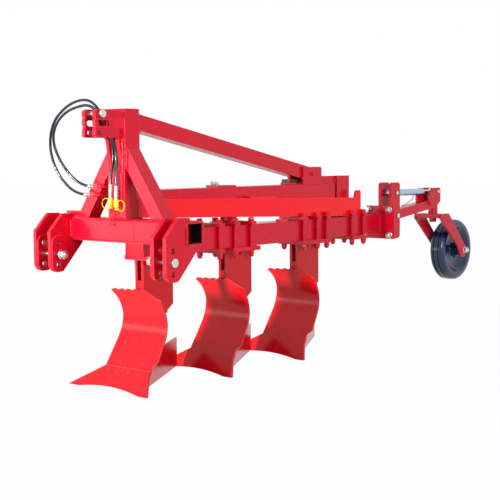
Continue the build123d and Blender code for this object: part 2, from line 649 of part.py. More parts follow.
# Landside, in a frame of its own: along the plate, its outer face at 0
yaw = radians(LANDSIDE_YAW)
landside_origin = (POINT_X - LANDSIDE_INSET, FACE_EDGE_Y + FACE_SLOPE * LANDSIDE_LOW, 0)
landside_place = Plane(landside_origin, (-sin(yaw), cos(yaw), 0), (0, 0, 1))
clear_back = behind(SHARE_THICK + SEAT, WIDE)
side_plate = landside_place * block((LANDSIDE_START, LANDSIDE_LENGTH), (0, LANDSIDE_THICK),
                                    (LANDSIDE_LOW, LANDSIDE_TOP))
landside = side_plate & clear_back
outside = landside_place * block((-200, LANDSIDE_LENGTH + 200), (-400, LANDSIDE_THICK), (-10, LANDSIDE_TOP))

# Shank: two plates with a web between them at the rear
SHANK_OUT = SHANK_GAP / 2 + SHANK_PLATE
SHANK_REAR = SHANK_FRONT + SHANK_DEPTH
SHANK_TOP = BEAM_LOW - CLAMP_PLATE
shank_outline = [
    (SHANK_FRONT, SHANK_TOP), (SHANK_FRONT, SHANK_LOW), (SHANK_REAR, SHANK_LOW), (SHANK_REAR, SHANK_TOP),
]
web_outline = [
    (SHANK_REAR - 30, SHANK_TOP), (SHANK_REAR - 30, SHANK_LOW), (SHANK_REAR, SHANK_LOW),
    (SHANK_REAR + SHANK_WEB, SHANK_LOW + SHANK_CHAMFER), (SHANK_REAR + SHANK_WEB, SHANK_TOP),
]
shank = plate(shank_outline, "x", -SHANK_OUT, -SHANK_GAP / 2) + plate(shank_outline, "x", SHANK_GAP / 2, SHANK_OUT)
shank += plate(web_outline, "x", -SHANK_GAP / 2, SHANK_GAP / 2)
shank &= behind(BOARD_THICK + SEAT, WIDE)

# Frog: a tongue up into the shank, a foot along the landside and a rib behind the share
tongue = plate(
    [(60, 30), (60, 400), (SHANK_FRONT + 5, 480), (SHANK_FRONT + 5, FROG_TOP), (SHANK_FRONT + 126, FROG_TOP),
     (SHANK_REAR - 31, 470), (SHANK_REAR - 31, 400), (250, 30)],
    "x", -SHANK_GAP / 2, SHANK_GAP / 2,
)
foot = landside_place * block(
    (FROG_FOOT_START, FROG_FOOT_END), (LANDSIDE_THICK, LANDSIDE_THICK + FROG_FOOT_THICK),
    (LANDSIDE_LOW + FROG_FOOT_LOW, LANDSIDE_TOP - 10))
rib_span = (-FROG_RIB_HALF, FROG_RIB_HALF)
rib = behind(SHARE_THICK + SEAT, rib_span) - behind(SHARE_THICK + SEAT + FROG_RIB, rib_span)
rib &= block(rib_span, (0, 200), (FROG_RIB_LOW, FROG_RIB_TOP))
frog = (tongue + foot + rib) & clear_back
frog -= outside
frog = frog.solids().sort_by(SortBy.VOLUME)[-1]
shank += frog

for number in range(BODY_COUNT):
    place = Pos(0, number * BODY_STEP, 0)
    for name, shape in (("mouldboard", board), ("share", share), ("landside", landside), ("shank", shank)):
        save(f"{name}_{number + 1}", place * shape)

# Rear flange with the wheel carrier's plates
CARRIER_IN = CARRIER_GAP / 2
CARRIER_OUT = CARRIER_IN + CARRIER_PLATE
CARRIER_FRONT = BEAM_REAR + FLANGE_PLATE
flange = plate(
    [(FLANGE_FAR, FLANGE_LOW), (FLANGE_NEAR, FLANGE_LOW), (FLANGE_NEAR, FLANGE_TOP), (FLANGE_FAR, FLANGE_TOP)],
    "y", BEAM_REAR, CARRIER_FRONT, [10, 10, 10, 10],
)
carrier_outline = [
    (CARRIER_FRONT, FLANGE_LOW), (CARRIER_REAR, FLANGE_LOW), (CARRIER_REAR, CARRIER_TOP), (CARRIER_FRONT, CARRIER_TOP),
]
carrier_radii = [0, CARRIER_CORNER, CARRIER_CORNER, CARRIER_CORNER]
for way in (1, -1):
    spans = sorted([CARRIER_X + way * CARRIER_IN, CARRIER_X + way * CARRIER_OUT])
    carrier = plate(carrier_outline, "x", spans[0], spans[1], carrier_radii)
    carrier -= cross_bar(ARM_PIN_R, spans, ARM_PIVOT_Y, ARM_PIVOT_Z)
    carrier -= cross_bar(LINK_PIN_R, spans, LINK_BASE_Y, LINK_BASE_Z)
    flange += carrier
save("wheel_carrier", flange)
pin_out = (CARRIER_X - CARRIER_OUT - 12, CARRIER_X + CARRIER_OUT + 12)
save("arm_pin", cross_bar(ARM_PIN_R, pin_out, ARM_PIVOT_Y, ARM_PIVOT_Z))
save("cylinder_pin", cross_bar(LINK_PIN_R, pin_out, LINK_BASE_Y, LINK_BASE_Z))

# Wheel arm
ARM_HALF = ARM_SIZE / 2
arm_place = Plane((CARRIER_X, ARM_PIVOT_Y, ARM_PIVOT_Z), (1, 0, 0), (0, -sin(radians(ARM_RISE)), cos(radians(ARM_RISE))))
arm = arm_place * block((-ARM_HALF, ARM_HALF), (0, ARM_LENGTH), (-ARM_HALF, ARM_HALF))
arm += cross_bar(ARM_EYE_R, (CARRIER_X - ARM_HALF, CARRIER_X + ARM_HALF), ARM_PIVOT_Y, ARM_PIVOT_Z)
arm += bar(BOSS_R, (CARRIER_X, SPINDLE_Y, BOSS_LOW), (CARRIER_X, SPINDLE_Y, BOSS_TOP))
for way, front in ((1, LUG_FRONT), (-1, LUG_FRONT - FAR_LUG_REACH)):
    span = sorted([CARRIER_X + way * ARM_HALF, CARRIER_X + way * (ARM_HALF + LUG_PLATE)])
    lug = plate(
        [(front, LUG_LOW), (LUG_REAR - 30, LUG_LOW), (LUG_REAR, LUG_LOW + 24), (LUG_REAR, LUG_TOP),
         (front + 34, LUG_TOP), (front, LUG_TOP - 34)],
        "x", span[0], span[1], [10, 10, 8, 16, 10, 10],
    )
    arm += lug
arm += block((CARRIER_X - ARM_HALF, CARRIER_X + ARM_HALF), (LUG_REAR - 14, LUG_REAR), (LUG_LOW + 10, LUG_LOW + 48))
arm -= bar(SPINDLE_R + RUN_FIT, (CARRIER_X, SPINDLE_Y, BOSS_LOW - 60), (CARRIER_X, SPINDLE_Y, BOSS_TOP + 1))
arm -= bar(BOSS_R + 6, (CARRIER_X, SPINDLE_Y, BOSS_TOP), (CARRIER_X, SPINDLE_Y, BOSS_TOP + 45))
arm -= cross_bar(ARM_PIN_R + PIN_FIT, (CARRIER_X - 60, CARRIER_X + 60), ARM_PIVOT_Y, ARM_PIVOT_Z)
link_pin_span = (CARRIER_X - ARM_HALF - LUG_PLATE - 10, CARRIER_X + ARM_HALF + LUG_PLATE + 10)
arm -= cross_bar(LINK_PIN_R, link_pin_span, LINK_EYE_Y, LINK_EYE_Z)
save("wheel_arm", arm)
save("rod_pin", cross_bar(LINK_PIN_R, link_pin_span, LINK_EYE_Y, LINK_EYE_Z))

# Hydraulic cylinder, along the line between its two pins
link_base = Vector(CARRIER_X, LINK_BASE_Y, LINK_BASE_Z)
link_eye = Vector(CARRIER_X, LINK_EYE_Y, LINK_EYE_Z)
link_line = (link_eye - link_base).normalized()
link_length = (link_eye - link_base).length


def on_link(distance):
    """A point on the cylinder's line, from its base pin."""
    return tuple(link_base + link_line * distance)


half_eye = LINK_EYE_WIDTH / 2
eye_span = (CARRIER_X - half_eye, CARRIER_X + half_eye)
barrel = bar(BARREL_R, on_link(BARREL_START), on_link(BARREL_END))
barrel += bar(BARREL_R * 0.7, on_link(0), on_link(BARREL_START))
barrel += cross_bar(LINK_EYE_R, eye_span, LINK_BASE_Y, LINK_BASE_Z)
barrel -= bar(BARREL_BORE_R, on_link(BARREL_START + BARREL_CAP), on_link(BARREL_END - BARREL_CAP))
barrel -= bar(ROD_R + RUN_FIT, on_link(BARREL_END - BARREL_CAP), on_link(BARREL_END))
barrel -= cross_bar(LINK_PIN_R + PIN_FIT, (CARRIER_X - BARREL_R, CARRIER_X + BARREL_R), LINK_BASE_Y, LINK_BASE_Z)
save("cylinder_barrel", barrel)
rod = bar(ROD_R, on_link(PISTON_AT), on_link(link_length))
rod += bar(BARREL_BORE_R - RUN_FIT, on_link(PISTON_AT), on_link(PISTON_AT + PISTON))
rod += cross_bar(LINK_EYE_R, eye_span, LINK_EYE_Y, LINK_EYE_Z)
rod -= cross_bar(LINK_PIN_R + LINK_EYE_DRIFT, eye_span, LINK_EYE_Y, LINK_EYE_Z)
save("cylinder_rod", rod)

# Castor fork
FORK_TOP = BOSS_LOW - SEAT
fork = block((CARRIER_X - FORK_HALF, CARRIER_X + FORK_HALF), (FORK_FRONT + 8, FORK_CROWN_REAR), (FORK_CROWN_LOW, FORK_TOP))
knee_y = FORK_FRONT + 235
leg_foot = WHEEL_Z - 47
leg_outline = [
    (FORK_FRONT, FORK_CROWN_LOW), (knee_y, FORK_CROWN_LOW - FORK_DROP), (WHEEL_Y - 42, leg_foot), (WHEEL_Y + 8, leg_foot),
    (WHEEL_Y + 40, WHEEL_Z + 4), (FORK_CROWN_REAR, FORK_TOP), (FORK_FRONT + 8, FORK_TOP),
]
for way in (-1, 1):
    span = sorted([CARRIER_X + way * (FORK_HALF - FORK_PLATE), CARRIER_X + way * FORK_HALF])
    fork += plate(leg_outline, "x", span[0], span[1], [0, 30, 10, 20, 30, 12, 0])
fork += bar(SPINDLE_R, (CARRIER_X, SPINDLE_Y, SPINDLE_LOW), (CARRIER_X, SPINDLE_Y, BOSS_TOP + SEAT + COLLAR))
fork += bar(SPINDLE_NUT_R, (CARRIER_X, SPINDLE_Y, SPINDLE_LOW), (CARRIER_X, SPINDLE_Y, FORK_CROWN_LOW))
collar_low = BOSS_TOP + SEAT
fork += bar(COLLAR_R, (CARRIER_X, SPINDLE_Y, collar_low), (CARRIER_X, SPINDLE_Y, collar_low + COLLAR))
axle_span = (CARRIER_X - FORK_HALF - AXLE_NUT, CARRIER_X + FORK_HALF + AXLE_NUT)
fork -= cross_bar(AXLE_R, axle_span, WHEEL_Y, WHEEL_Z)
save("castor_fork", fork)
axle = cross_bar(AXLE_R, axle_span, WHEEL_Y, WHEEL_Z)
for way in (-1, 1):
    span = sorted([CARRIER_X + way * FORK_HALF, CARRIER_X + way * (FORK_HALF + AXLE_NUT)])
    axle += cross_bar(AXLE_NUT_R, span, WHEEL_Y, WHEEL_Z)
save("wheel_axle", axle)

# Wheel: turned profile of half the section, radius against distance along the axle
half_tyre = WHEEL_HALF
tyre_outline = [
    (RIM_R - 6, half_tyre - 12), (RIM_R + 14, half_tyre), (WHEEL_R - TREAD_SHOULDER, half_tyre), (WHEEL_R, half_tyre - TREAD_SHOULDER),
    (WHEEL_R, GROOVE_X + GROOVE_WIDTH / 2), (WHEEL_R - GROOVE_DEPTH, GROOVE_X + GROOVE_WIDTH / 2),
    (WHEEL_R - GROOVE_DEPTH, GROOVE_X - GROOVE_WIDTH / 2), (WHEEL_R, GROOVE_X - GROOVE_WIDTH / 2),
]
tyre_outline += [(r, -x) for r, x in reversed(tyre_outline)]
tyre_outline += [(RIM_R - 6, -DISC / 2), (HUB_R - 4, -DISC / 2), (HUB_R - 4, DISC / 2), (RIM_R - 6, DISC / 2)]
tyre = revolve(make_face(Polyline(*tyre_outline, close=True)), Axis.Y)
wheel = Rot(0, 0, 90) * tyre
wheel += Rot(0, 90, 0) * Cylinder(HUB_R, 2 * HUB_HALF)
wheel -= Rot(0, 90, 0) * Cylinder(AXLE_R + RUN_FIT, 2 * HUB_HALF + 2)
save("wheel", Pos(CARRIER_X, WHEEL_Y, WHEEL_Z) * wheel)

# Hydraulic pipes out of the upper beam's front end, and the hoses that hang from them
PIPE_Y = -30.0
pipe_table = [
    # name, points, where the fitting ends in X
    ("pipe_1", [(-100, UPPER_FRONT, 1000), (-100, PIPE_Y, 1000), (-124, PIPE_Y, 1000)], -168),
    ("pipe_2", [(-72, UPPER_FRONT, 985), (-72, 58, 985), (-72, 14, 1043), (-72, PIPE_Y, 1043), (-96, PIPE_Y, 1043)], -140),
]


def tube(points, radius, radii):
    """A round tube along straight runs with rounded turns."""
    route = FilletPolyline(*points, radius=radii)
    start = Vector(*points[0])
    section = Plane(origin=start, z_dir=Vector(*points[1]) - start) * Circle(radius)
    return sweep(section, path=route)


for name, points, fitting_end in pipe_table:
    pipe = tube(points, PIPE_R, [PIPE_BEND] * (len(points) - 2))
    pipe += cross_bar(FITTING_R, (fitting_end, points[-1][0]), points[-1][1], points[-1][2])
    save(name, pipe)

hose_table = [
    # name, points from the fitting to the coupler
    ("hose_1", [
        (-168, -30, 1000), (-254, -30, 1000), (-338, -58, 1070), (-390, -76, 1172), (-393, -88, 1280), (-343, -96, 1376),
        (-245, -104, 1436), (-155, -107, 1465), (-73, -105, 1468), (-24, -95, 1436), (-2, -76, 1383), (-6, -38, 1320),
        (-7, -5, 1245), (-9, -4, 1165), (-15, -20, 1090), (-15, -20, 1026)]),
    ("hose_2", [
        (-140, -30, 1043), (-210, -30, 1043), (-286, -62, 1108), (-337, -88, 1202), (-345, -108, 1286), (-300, -118, 1360),
        (-220, -125, 1410), (-125, -130, 1434), (-42, -123, 1442), (10, -104, 1396), (15, -64, 1330), (14, -14, 1257),
        (17, -6, 1175), (25, -20, 1090), (25, -20, 1017)]),
]
for index, (name, points) in enumerate(hose_table, 1):
    knots = [Vector(*point) for point in points]
    radii = []
    for before, here, after in zip(knots, knots[1:], knots[2:]):
        turned = (here - before).get_angle(after - here)
        shorter = min((here - before).length, (after - here).length)
        radii.append(0.45 * shorter / tan(radians(turned / 2)))
    print(name, "radii", [round(radius) for radius in radii])
    hose = tube(points, HOSE_R, radii)
    route_length = FilletPolyline(*points, radius=radii).length
    print(name, "volume ratio", round(hose.volume / (3.14159265 * HOSE_R ** 2 * route_length), 4))
    save(name, hose)
    x, y, z = points[-1]
    save(f"coupler_{index}", bar(COUPLER_R, (x, y, z - COUPLER_LENGTH), (x, y, z)))
    low = z - COUPLER_LENGTH
    save(f"dust_cap_{index}", bar(CAP_R, (x, y, low - CAP_LENGTH), (x, y, low)))
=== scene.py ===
# %% [markdown]
# # A mounted mouldboard plough
# The frame, the plough bodies and the wheel are solids that come from a CAD model, in metres,
# with +Z up and +Y towards the plough's rear. This lesson gives them their paint and metal and
# adds what the solids leave out: nuts, bolts, weld beads, hoses with their fittings, pin ends
# and the wheel's fine shape. Everything that moves rides on a named body of the model.

import json
import math

import bmesh
import bpy
from mathutils import Matrix, Vector


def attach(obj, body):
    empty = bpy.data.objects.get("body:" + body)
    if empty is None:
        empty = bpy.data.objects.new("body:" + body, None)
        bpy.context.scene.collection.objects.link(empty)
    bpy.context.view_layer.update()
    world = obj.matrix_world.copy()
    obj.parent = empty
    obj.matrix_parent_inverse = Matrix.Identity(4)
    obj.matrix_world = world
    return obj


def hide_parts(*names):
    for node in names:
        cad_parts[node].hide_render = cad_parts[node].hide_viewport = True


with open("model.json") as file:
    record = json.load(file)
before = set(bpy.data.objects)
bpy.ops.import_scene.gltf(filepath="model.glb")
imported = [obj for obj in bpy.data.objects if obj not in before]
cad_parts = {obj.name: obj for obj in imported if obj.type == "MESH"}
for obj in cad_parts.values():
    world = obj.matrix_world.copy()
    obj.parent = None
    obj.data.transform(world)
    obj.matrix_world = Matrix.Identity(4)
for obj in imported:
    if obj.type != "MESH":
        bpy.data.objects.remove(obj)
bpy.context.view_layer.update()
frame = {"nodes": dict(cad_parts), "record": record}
nodes = frame["nodes"]

# %% [markdown]
# ## Sizes in millimetres
# A machine drawing counts millimetres from one reference face. Here that face is the front of
# the head tube, the cross member that the tractor's arms carry. One helper turns such a point
# into a place in the scene, so every size below reads like a drawing.

# %% From drawing sizes to places in the scene
LENGTH_MIDDLE = 1586.25


def at(x, y, z):
    """A point given in millimetres from the head tube's front face."""
    return Vector((x, y - LENGTH_MIDDLE, z)) / 1000


# %% [markdown]
# ## Camera
# The camera stands at the front left, at about chest height, and looks along the machine. Its
# axes are worked out from three angles, because a matrix built this way has no hidden tilt.

# %% Place the camera
heading, fall, lean = (math.radians(a) for a in (40.42, 4.81, -0.47))
forward = Vector((-math.sin(heading) * math.cos(fall), math.cos(heading) * math.cos(fall), -math.sin(fall)))
level = Vector((math.cos(heading), math.sin(heading), 0))
above = level.cross(forward)
across = level * math.cos(lean) + above * math.sin(lean)
upward = above * math.cos(lean) - level * math.sin(lean)
camera = bpy.data.objects.new("camera", bpy.data.cameras.new("camera"))
camera.data.lens = 77.57
camera.data.sensor_width = 36
camera.data.clip_end = 200
turn = Matrix((across, upward, -forward)).transposed().to_4x4()
camera.matrix_world = Matrix.Translation(at(3957.8, -3627.8, 1170.5)) @ turn
bpy.context.collection.objects.link(camera)
bpy.context.scene.camera = camera
bpy.context.scene.view_settings.view_transform = "Standard"
print("camera at", [round(v, 2) for v in camera.location])

# %% [markdown]
# ## Writing shader maths as Python
# A material is a graph of small nodes. Wiring each one by hand hides the idea, so one class
# wraps an output socket and lets it be added or multiplied. A second class makes any node from
# its type, settings and inputs, for a material or for the sky. A third is a material that
# knows a few patterns: clouds, edges and small bumps.


# %% A socket that can be added and multiplied
class Socket:
    """The output of a shader node, used as a number in expressions."""

    def __init__(self, graph, output):
        self.graph = graph
        self.output = output

    def math(self, operation, first, second):
        return self.graph.node("ShaderNodeMath", {"operation": operation}, [first, second])

    def __add__(self, other):
        return self.math("ADD", self, other)

    def __sub__(self, other):
        return self.math("SUBTRACT", self, other)

    def __rsub__(self, other):
        return self.math("SUBTRACT", other, self)

    def __mul__(self, other):
        return self.math("MULTIPLY", self, other)

    def larger(self, other):
        return self.math("MAXIMUM", self, other)

    __radd__ = __add__
    __rmul__ = __mul__


# %% Nodes from one method
class Graph:
    """A tree of shader nodes, in a material or in the world."""

    def __init__(self, owner):
        owner.use_nodes = True
        self.tree = owner.node_tree

    def node(self, kind, settings=None, inputs=(), output=0):
        """Add a node from its type, its settings and its inputs, and return one output."""
        made = self.tree.nodes.new(kind)
        for name, value in (settings or {}).items():
            setattr(made, name, value)
        pairs = inputs.items() if isinstance(inputs, dict) else enumerate(inputs)
        for key, value in pairs:
            self.feed(made.inputs[key], value)
        return Socket(self, made.outputs[output])

    def feed(self, socket, value):
        if isinstance(value, Socket):
            self.tree.links.new(value.output, socket)
        else:
            socket.default_value = value

    def background_rays(self):
        """1 for a ray from the camera, a mirror or glass, and 0 for light between surfaces."""
        seen, glossy, through = (
            self.node("ShaderNodeLightPath", output=kind)
            for kind in ("Is Camera Ray", "Is Glossy Ray", "Is Transmission Ray")
        )
        return seen.larger(glossy).larger(through)


# %% A material and its patterns
class Finish(Graph):
    """A material whose look is written as expressions."""

    def __init__(self, name, **constants):
        self.material = bpy.data.materials.new(name)
        super().__init__(self.material)
        self.shader = self.tree.nodes["Principled BSDF"]
        self.set(**constants)
        self.place = self.node("ShaderNodeTexCoord", output="Object")
        print("finish", name)

    def set(self, **sockets):
        """Give values or links to the main shader; a name's underscores stand for spaces."""
        for words, value in sockets.items():
            self.feed(self.shader.inputs[words.replace("_", " ")], value)

    def cloud(self, scale, detail=2.0, stretch=(1, 1, 1)):
        """Soft noise from 0 to 1; stretch squeezes it along an axis into streaks."""
        spot = self.node("ShaderNodeVectorMath", {"operation": "MULTIPLY"}, [self.place, stretch])
        return self.node("ShaderNodeTexNoise", None, {"Vector": spot, "Scale": scale, "Detail": detail})

    def between(self, value, low, high):
        """0 below low, 1 above high, and a straight ramp between."""
        return self.node("ShaderNodeMapRange", None, [value, low, high, 0.0, 1.0])

    def tint(self, amount, first, second):
        """The first colour where amount is 0 and the second where it is 1."""
        return self.node("ShaderNodeMix", {"data_type": "RGBA"}, {0: amount, 6: first, 7: second}, 2)

    def rounded(self, radius):
        """The surface direction as if edges were rounded off by radius."""
        return self.node("ShaderNodeBevel", {"samples": 4}, {"Radius": radius})

    def edge(self, soft):
        """1 on a sharp edge and 0 on a flat face."""
        hard = self.node("ShaderNodeNewGeometry", output=1)
        same = self.node("ShaderNodeVectorMath", {"operation": "DOT_PRODUCT"}, [soft, hard], 1)
        return self.between(1 - same, 0.02, 0.2)

    def bump(self, height, strength, distance, normal=None):
        """A surface direction that follows small heights; normal is the direction below them."""
        inputs = {"Height": height, "Strength": strength, "Distance": distance}
        if normal:
            inputs["Normal"] = normal
        return self.node("ShaderNodeBump", None, inputs)


def colour(red, green, blue):
    """A colour from the usual 0 to 255 numbers."""
    return tuple((c / 255) ** 2.2 for c in (red, green, blue)) + (1.0,)


# %% [markdown]
# ## Gloss paint
# The frame is sprayed in cherry red and the plough bodies in scarlet. The side rail gets a brighter
# coral, which is partly its own paint and partly a painted reflection of the stronger light it catches.
# Sprayed enamel isn't perfectly even: it varies a little in depth, its skin has a fine orange-peel
# ripple, and dust dulls it in soft patches. Its sharp edges turn a paler red, partly as thinner paint
# and partly as a painted highlight. A clear coat gives the wet highlight. One function makes all
# three, as they differ only in colour and gloss.


# %% Paint for the frame, the side rail and the plough bodies
def enamel(name, deep, bright, thin_paint_and_highlight_colour, roughness, coat_roughness):
    """Sprayed paint between a deep and a bright tone, with paler edges that are partly a painted highlight.
    """
    paint = Finish(name, Coat_Weight=0.14, Coat_Roughness=coat_roughness, Specular_IOR_Level=0.22)
    patches = paint.cloud(2.2, 2.0)
    film = paint.cloud(30.0, 2.0)
    soft = paint.rounded(0.004)
    thin_paint_and_highlight_mask = paint.edge(soft)
    base = paint.tint(paint.between(patches, 0.3, 0.7), deep, bright)
    dusty = paint.tint(paint.between(film, 0.55, 0.85) * 0.05, base, colour(225, 120, 120))
    # Edges turn to a paler red: partly thinner paint, partly a painted highlight.
    paint.set(Base_Color=paint.tint(thin_paint_and_highlight_mask * 0.7, dusty, thin_paint_and_highlight_colour))
    paint.set(Roughness=roughness + paint.between(film, 0.4, 0.75) * 0.08)
    peel = paint.cloud(420.0, 1.0)
    paint.set(Normal=paint.bump(peel, 0.05, 0.0006, soft))
    return paint.material


# The third colour of each is its pale edge: partly thinner paint, partly a painted highlight.
cherry = (colour(202, 12, 40), colour(212, 16, 46), colour(250, 96, 104))
# The rail's coral: partly its own paint, partly a painted reflection of stronger light.
coral = (colour(255, 8, 26), colour(255, 12, 34), colour(255, 120, 122))
scarlet = (colour(192, 14, 24), colour(204, 18, 30), colour(250, 96, 100))
frame_paint = enamel("cherry_enamel", *cherry, roughness=0.26, coat_roughness=0.10)
rail_paint_and_painted_sheen = enamel("coral_enamel_and_painted_sheen", *coral, roughness=0.26, coat_roughness=0.10)
body_paint = enamel("body_enamel", *scarlet, roughness=0.20, coat_roughness=0.16)

# %% [markdown]
# ## Bright metal
# Pins, bolts and fittings are zinc plated, the cylinder's rod is ground chrome and its barrel
# a silver-blue lacquer. Plating is pale and a little yellow or blue in patches, and its gloss
# breaks up in small clouds. A picture of scratches could show that, but noise in the roughness
# fits every piece, and stretching it turns the clouds into the fine lines of a ground rod.


# %% Zinc, chrome and cylinder paint
def plated(name, first, second, roughness, streaks):
    """Metal in two pale tones, whose gloss varies along streaks."""
    metal = Finish(name, Metallic=1.0)
    patches = metal.cloud(60.0, 3.0)
    lines = metal.cloud(90.0, 2.0, streaks)
    metal.set(Base_Color=metal.tint(metal.between(patches, 0.35, 0.7), first, second))
    metal.set(Roughness=roughness + metal.between(lines, 0.3, 0.8) * 0.16)
    metal.set(Normal=metal.bump(lines, 0.08, 0.0004, metal.rounded(0.001)))
    return metal.material


zinc = plated("zinc_plate", colour(214, 218, 222), colour(196, 204, 198), 0.20, (1, 1, 6))
chrome = plated("ground_chrome", colour(222, 226, 230), colour(206, 212, 220), 0.06, (1, 0.05, 1))
steel_blue = plated("silver_blue_lacquer", colour(176, 196, 220), colour(150, 176, 206), 0.24, (1, 0.2, 1))

# %% [markdown]
# ## Rubber and plastic
# The wheel is glossy black rubber with a painted blue reflection. Hose covers are duller, with a fine
# grain.
# Dust caps are glossy yellow plastic. These are one recipe with other numbers: a dark and a
# light tone in soft patches, and a fine grain that breaks the gloss.


# %% Wheel, hose and cap finishes
def moulded(name, dark, light, roughness, grain, coat):
    """Rubber, plastic or plain black, with a grain as fine as its number is large; the black also serves as
    painted shade.
    """
    stuff = Finish(name, Coat_Weight=coat, Coat_Roughness=0.08, Specular_IOR_Level=0.25)
    patches = stuff.cloud(9.0, 3.0)
    fine = stuff.cloud(grain, 2.0)
    stuff.set(Base_Color=stuff.tint(stuff.between(patches, 0.3, 0.7), dark, light))
    stuff.set(Roughness=roughness + stuff.between(fine, 0.35, 0.7) * 0.12)
    stuff.set(Normal=stuff.bump(fine, 0.10, 0.0006))
    return stuff.material


# The wheel's blue tone is a painted reflection on black rubber.
wheel_rubber = moulded("wheel_rubber_painted_blue_sheen", colour(18, 34, 62), colour(38, 62, 100), 0.16, 160.0, 0.45)
hose_rubber = moulded("hose_cover", colour(18, 22, 32), colour(30, 38, 52), 0.26, 300.0, 0.4)
cap_plastic = moulded("yellow_plastic", colour(246, 196, 8), colour(252, 214, 30), 0.22, 220.0, 0.4)
# This black goes on the black_steel solids and also serves as painted shade inside the tube and in the
# fork's holes.
black_steel = moulded("black_paint_and_painted_shade", colour(24, 24, 27), colour(38, 38, 42), 0.30, 200.0, 0.3)

# %% [markdown]
# ## Giving every solid its finish
# Each CAD solid names a material slot. A short table turns those names into the finishes
# made above, so a new solid with a known slot is painted without another line of code. The
# side rail gets a brighter red than its slot's usual one, partly a painted reflection of the
# stronger light it catches.

# %% Paint the solids
finishes = {
    "frame_red": frame_paint,
    "body_red": body_paint,
    "zinc_steel": zinc,
    "chrome_rod": chrome,
    "cylinder_paint": steel_blue,
    "black_steel": black_steel,
    "wheel_black": wheel_rubber,
    "black_hose": hose_rubber,
    "yellow_cap": cap_plastic,
}
slot_of = {part["node"]: part["material_slot"] for part in frame["record"]["subparts"]}
for name, solid in nodes.items():
    solid.data.materials.clear()
    solid.data.materials.append(finishes[slot_of[name]])
# The rail's brighter coral is partly a painted reflection.
nodes["side_rail"].data.materials[0] = rail_paint_and_painted_sheen
print("painted", len(slot_of), "solids")

# %% [markdown]
# ## One object from many turned and drawn shapes
# Nuts, pins and weld beads are all rings of points joined by faces. Blender's own cylinders
# would each be an object to place and join. The class below keeps adding such shapes to one
# mesh instead, so forty nuts become a single object that is easy to move with its body.


# %% A builder for turned and swept shapes
def square_to(axis):
    """Two directions at right angles to an axis and to each other."""
    axis = Vector(axis).normalized()
    helper = Vector((0, 0, 1)) if abs(axis.z) < 0.9 else Vector((1, 0, 0))
    first = helper.cross(axis).normalized()
    return first, axis.cross(first)


class Shape:
    """Collects solids of rings into one mesh."""

    def __init__(self):
        self.mesh = bmesh.new()

    def rings(self, circles):
        """Join rings of equal count and close both ends; each ring is a list of points."""
        rows = [[self.mesh.verts.new(p) for p in circle] for circle in circles]
        count = len(rows[0])
        for low, high in zip(rows, rows[1:]):
            for i in range(count):
                k = (i + 1) % count
                self.mesh.faces.new((low[i], low[k], high[k], high[i]))
        self.mesh.faces.new(list(reversed(rows[0])))
        self.mesh.faces.new(rows[-1])

    def turn(self, centre, axis, profile, sides=32, lead=0.0):
        """A turned shape: profile is (distance along the axis, radius) in millimetres."""
        along = Vector(axis).normalized()
        first, second = square_to(axis)
        angles = [lead + 2 * math.pi * i / sides for i in range(sides)]
        spokes = [first * math.cos(angle) + second * math.sin(angle) for angle in angles]
        circles = []
        for distance, radius in profile:
            middle = centre + along * distance / 1000
            circles.append([middle + spoke * radius / 1000 for spoke in spokes])
        self.rings(circles)

    def tube(self, points, radius, sides=10, ripple=0.0):
        """A round tube along points in metres; ripple swells every second ring."""
        angles = [2 * math.pi * k / sides for k in range(sides)]
        circles = []
        for i, point in enumerate(points):
            before = points[max(i - 1, 0)]
            after = points[min(i + 1, len(points) - 1)]
            first, second = square_to(after - before)
            size = radius * (1 + ripple * (i % 2)) / 1000
            circles.append([point + (first * math.cos(a) + second * math.sin(a)) * size for a in angles])
        self.rings(circles)

    def slab(self, outline, axis, start, end):
        """A flat outline drawn along "x", "y" or "z" from start to end, in millimetres."""
        order = {
            "x": lambda u, v, d: at(d, u, v),
            "y": lambda u, v, d: at(u, d, v),
            "z": lambda u, v, d: at(u, v, d),
        }
        place = order[axis]
        self.rings([[place(u, v, d) for u, v in outline] for d in (start, end)])

    def place_object(self, name, finish):
        """Turn the collected shapes into an object with a finish."""
        bmesh.ops.recalc_face_normals(self.mesh, faces=self.mesh.faces)
        data = bpy.data.meshes.new(name)
        self.mesh.to_mesh(data)
        self.mesh.free()
        data.materials.append(finish)
        made = bpy.data.objects.new(name, data)
        bpy.context.collection.objects.link(made)
        print(name, "has", len(data.polygons), "faces")
        return made

    def make(self, name, body, finish, smooth=40, bevel=0.0):
        """Make a piece that rides on a body; edges over smooth degrees stay sharp."""
        made = self.place_object(name, finish)
        if bevel:
            edge = made.modifiers.new("soft edge", "BEVEL")
            edge.width = bevel / 1000
            edge.segments = 2
            edge.limit_method = "ANGLE"
        made.data.shade_smooth()
        made.data.set_sharp_from_angle(angle=math.radians(smooth))
        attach(made, body)
        return made


# %% [markdown]
# ## Hoses
# Two hydraulic hoses leave fittings beside the mast, rise in a wide arc over its head and
# hang down its front, with a coupler and a dust cap on each. A simulated rope would fall its
# own way, so the route is a short list of points. A NURBS curve that they steer bends the way
# a stiff hose does, with no kink at any of them.

